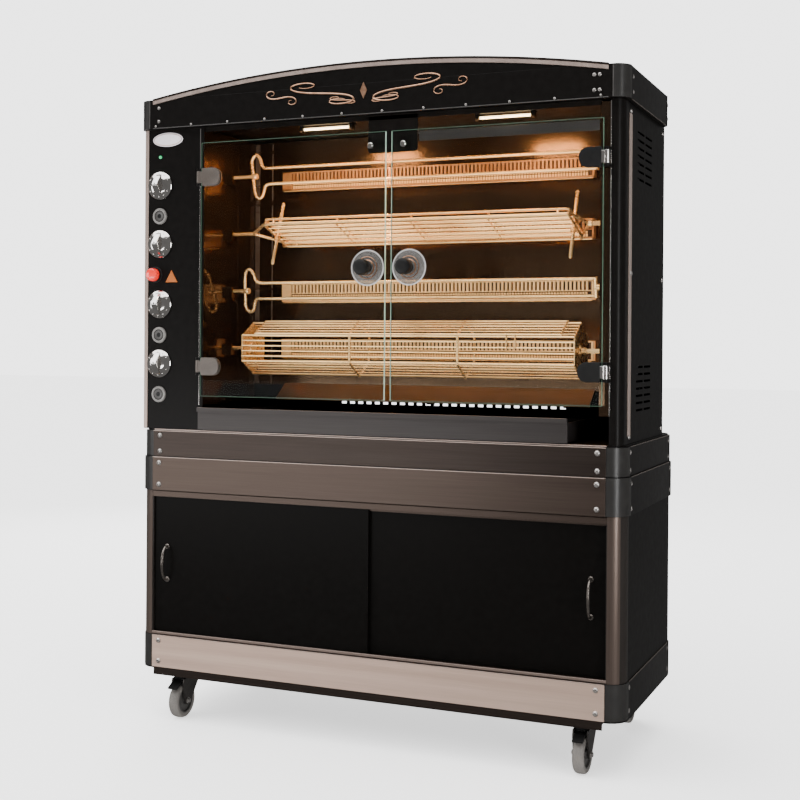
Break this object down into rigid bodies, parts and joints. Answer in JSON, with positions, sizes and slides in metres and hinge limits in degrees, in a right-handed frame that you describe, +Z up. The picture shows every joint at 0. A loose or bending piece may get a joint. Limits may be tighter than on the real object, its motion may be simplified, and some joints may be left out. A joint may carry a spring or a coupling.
{
  "type": "rotisserie oven",
  "caption": "Free-standing rotisserie oven: glass doors, turning spits and baskets, drip tray, control column, and a wheeled cabinet with sliding doors.",
  "frame": {"origin": "on the floor under the centre of the whole oven's box", "axes": "+Z up, the glass doors face -Y, the control column is at -X"},
  "size_m": [1.428, 0.648, 1.834],
  "materials": {
    "black_paint": "satin black powder coat",
    "pale_steel": "brushed along the length, warm grey",
    "brown_steel": "brushed along the length, brown grey",
    "dark_steel": "brushed along the length, dark brown grey",
    "chrome": "bright satin chrome",
    "inner_steel": "polished sheet with heat tint",
    "lamp_glass": "lit linear lamp behind frosted glass",
    "burner_metal": "heat tinted perforated sheet",
    "motor_steel": "grey enamel",
    "wire_steel": "drawn stainless rod",
    "tray_metal": "dark satin sheet",
    "black_plastic": "satin moulded black",
    "red_plastic": "gloss red",
    "door_glass": "clear toughened glass with green edges",
    "caster_steel": "black zinc",
    "grey_rubber": "matt grey tread"
  },
  "bodies": {
    "carcass": {"base_floor": "black_paint", "plinth": "pale_steel", "cabinet_frame": "brown_steel", "cabinet_shell": "black_paint", "lower_band": "brown_steel", "upper_band": "dark_steel", "worktop": "black_paint", "control_panel": "black_paint", "post_right": "black_paint", "side_left": "black_paint", "side_right": "black_paint", "oven_back": "black_paint", "liner_left": "inner_steel", "liner_right": "inner_steel", "burner_wall": "inner_steel", "roof_panel": "black_paint", "header": "black_paint", "lamp_left": "lamp_glass", "lamp_right": "lamp_glass", "burner_1": "burner_metal", "burner_2": "burner_metal", "burner_3": "burner_metal", "burner_4": "burner_metal", "motor_bank": "motor_steel"},
    "glass_door_left": {"glass_pane_left": "door_glass", "door_knob_left": "black_plastic", "clamp_upper_left": "black_plastic", "clamp_lower_left": "black_plastic"},
    "glass_door_right": {"glass_pane_right": "door_glass", "door_knob_right": "black_plastic", "clamp_upper_right": "black_plastic", "clamp_lower_right": "black_plastic"},
    "cabinet_door_left_body": {"cabinet_door_left": "black_paint", "cabinet_handle_left": "chrome"},
    "cabinet_door_right_body": {"cabinet_door_right": "black_paint", "cabinet_handle_right": "chrome"},
    "drip_tray_body": {"drip_tray": "tray_metal"},
    "fork_spit_top_body": {"fork_spit_top": "wire_steel"},
    "flat_basket_body": {"flat_basket": "wire_steel"},
    "fork_spit_lower_body": {"fork_spit_lower": "wire_steel"},
    "drum_basket_body": {"drum_basket": "wire_steel"},
    "drum_lid_body": {"drum_lid": "wire_steel"},
    "control_knob_1_body": {"control_knob_1": "chrome"},
    "control_knob_2_body": {"control_knob_2": "chrome"},
    "control_knob_3_body": {"control_knob_3": "chrome"},
    "control_knob_4_body": {"control_knob_4": "chrome"},
    "push_button_1_body": {"push_button_1": "black_plastic"},
    "push_button_2_body": {"push_button_2": "black_plastic"},
    "push_button_3_body": {"push_button_3": "black_plastic"},
    "red_button_body": {"red_button": "red_plastic"},
    "caster_front_left": {"caster_fork_front_left": "caster_steel"},
    "wheel_front_left": {"caster_wheel_front_left": "grey_rubber"},
    "brake_front_left": {"brake_pedal_front_left": "black_plastic"},
    "caster_front_right": {"caster_fork_front_right": "caster_steel"},
    "wheel_front_right": {"caster_wheel_front_right": "grey_rubber"},
    "brake_front_right": {"brake_pedal_front_right": "black_plastic"},
    "caster_rear_left": {"caster_fork_rear_left": "caster_steel"},
    "wheel_rear_left": {"caster_wheel_rear_left": "grey_rubber"},
    "caster_rear_right": {"caster_fork_rear_right": "caster_steel"},
    "wheel_rear_right": {"caster_wheel_rear_right": "grey_rubber"}
  },
  "joints": [
    {"name": "glass_door_left_hinge", "type": "hinge", "parent": "carcass", "child": "glass_door_left", "pos_m": [-0.512, -0.269, 1.28], "axis": [0, 0, -1], "range_deg": [0, 110]},
    {"name": "glass_door_right_hinge", "type": "hinge", "parent": "carcass", "child": "glass_door_right", "pos_m": [0.66, -0.269, 1.28], "axis": [0, 0, 1], "range_deg": [0, 110]},
    {"name": "cabinet_door_left_slide", "type": "slide", "parent": "carcass", "child": "cabinet_door_left_body", "axis": [1, 0, 0], "range_m": [0, 0.58]},
    {"name": "cabinet_door_right_slide", "type": "slide", "parent": "carcass", "child": "cabinet_door_right_body", "axis": [1, 0, 0], "range_m": [-0.58, 0]},
    {"name": "drip_tray_slide", "type": "slide", "parent": "carcass", "child": "drip_tray_body", "axis": [0, -1, 0], "range_m": [0, 0.3]},
    {"name": "fork_spit_top_spin", "type": "hinge", "parent": "carcass", "child": "fork_spit_top_body", "pos_m": [0, -0.112, 1.564], "axis": [1, 0, 0], "continuous": true},
    {"name": "flat_basket_spin", "type": "hinge", "parent": "carcass", "child": "flat_basket_body", "pos_m": [0, -0.112, 1.398], "axis": [1, 0, 0], "continuous": true},
    {"name": "fork_spit_lower_spin", "type": "hinge", "parent": "carcass", "child": "fork_spit_lower_body", "pos_m": [0, -0.112, 1.232], "axis": [1, 0, 0], "continuous": true},
    {"name": "drum_basket_spin", "type": "hinge", "parent": "carcass", "child": "drum_basket_body", "pos_m": [0, -0.112, 1.066], "axis": [1, 0, 0], "continuous": true},
    {"name": "drum_lid_hinge", "type": "hinge", "parent": "drum_basket_body", "child": "drum_lid_body", "pos_m": [0.07, -0.112, 1.146], "axis": [-1, 0, 0], "range_deg": [0, 40]},
    {"name": "control_knob_1_turn", "type": "hinge", "parent": "carcass", "child": "control_knob_1_body", "pos_m": [-0.65, -0.262, 1.531], "axis": [0, -1, 0], "range_deg": [0, 270]},
    {"name": "control_knob_2_turn", "type": "hinge", "parent": "carcass", "child": "control_knob_2_body", "pos_m": [-0.65, -0.262, 1.363], "axis": [0, -1, 0], "range_deg": [0, 270]},
    {"name": "control_knob_3_turn", "type": "hinge", "parent": "carcass", "child": "control_knob_3_body", "pos_m": [-0.65, -0.262, 1.19], "axis": [0, -1, 0], "range_deg": [0, 270]},
    {"name": "control_knob_4_turn", "type": "hinge", "parent": "carcass", "child": "control_knob_4_body", "pos_m": [-0.65, -0.262, 1.02], "axis": [0, -1, 0], "range_deg": [0, 270]},
    {"name": "push_button_1_press", "type": "slide", "parent": "carcass", "child": "push_button_1_body", "axis": [0, 1, 0], "range_m": [0, 0.004], "stiffness_N_per_m": 400, "springref_m": -0.002},
    {"name": "push_button_2_press", "type": "slide", "parent": "carcass", "child": "push_button_2_body", "axis": [0, 1, 0], "range_m": [0, 0.004], "stiffness_N_per_m": 400, "springref_m": -0.002},
    {"name": "push_button_3_press", "type": "slide", "parent": "carcass", "child": "push_button_3_body", "axis": [0, 1, 0], "range_m": [0, 0.004], "stiffness_N_per_m": 400, "springref_m": -0.002},
    {"name": "red_button_press", "type": "slide", "parent": "carcass", "child": "red_button_body", "axis": [0, 1, 0], "range_m": [0, 0.005], "stiffness_N_per_m": 500, "springref_m": -0.002},
    {"name": "caster_swivel_front_left", "type": "hinge", "parent": "carcass", "child": "caster_front_left", "pos_m": [-0.594, -0.182, 0.12], "axis": [0, 0, 1], "continuous": true},
    {"name": "caster_roll_front_left", "type": "hinge", "parent": "caster_front_left", "child": "wheel_front_left", "pos_m": [-0.594, -0.214, 0.05], "axis": [1, 0, 0], "continuous": true},
    {"name": "brake_pedal_front_left_press", "type": "hinge", "parent": "caster_front_left", "child": "brake_front_left", "pos_m": [-0.594, -0.23, 0.104], "axis": [1, 0, 0], "range_deg": [0, 12]},
    {"name": "caster_swivel_front_right", "type": "hinge", "parent": "carcass", "child": "caster_front_right", "pos_m": [0.594, -0.182, 0.12], "axis": [0, 0, 1], "continuous": true},
    {"name": "caster_roll_front_right", "type": "hinge", "parent": "caster_front_right", "child": "wheel_front_right", "pos_m": [0.594, -0.214, 0.05], "axis": [1, 0, 0], "continuous": true},
    {"name": "brake_pedal_front_right_press", "type": "hinge", "parent": "caster_front_right", "child": "brake_front_right", "pos_m": [0.594, -0.23, 0.104], "axis": [1, 0, 0], "range_deg": [0, 12]},
    {"name": "caster_swivel_rear_left", "type": "hinge", "parent": "carcass", "child": "caster_rear_left", "pos_m": [-0.594, 0.238, 0.12], "axis": [0, 0, 1], "continuous": true},
    {"name": "caster_roll_rear_left", "type": "hinge", "parent": "caster_rear_left", "child": "wheel_rear_left", "pos_m": [-0.594, 0.27, 0.05], "axis": [1, 0, 0], "continuous": true},
    {"name": "caster_swivel_rear_right", "type": "hinge", "parent": "carcass", "child": "caster_rear_right", "pos_m": [0.594, 0.238, 0.12], "axis": [0, 0, 1], "continuous": true},
    {"name": "caster_roll_rear_right", "type": "hinge", "parent": "caster_rear_right", "child": "wheel_rear_right", "pos_m": [0.594, 0.27, 0.05], "axis": [1, 0, 0], "continuous": true}
  ]
}
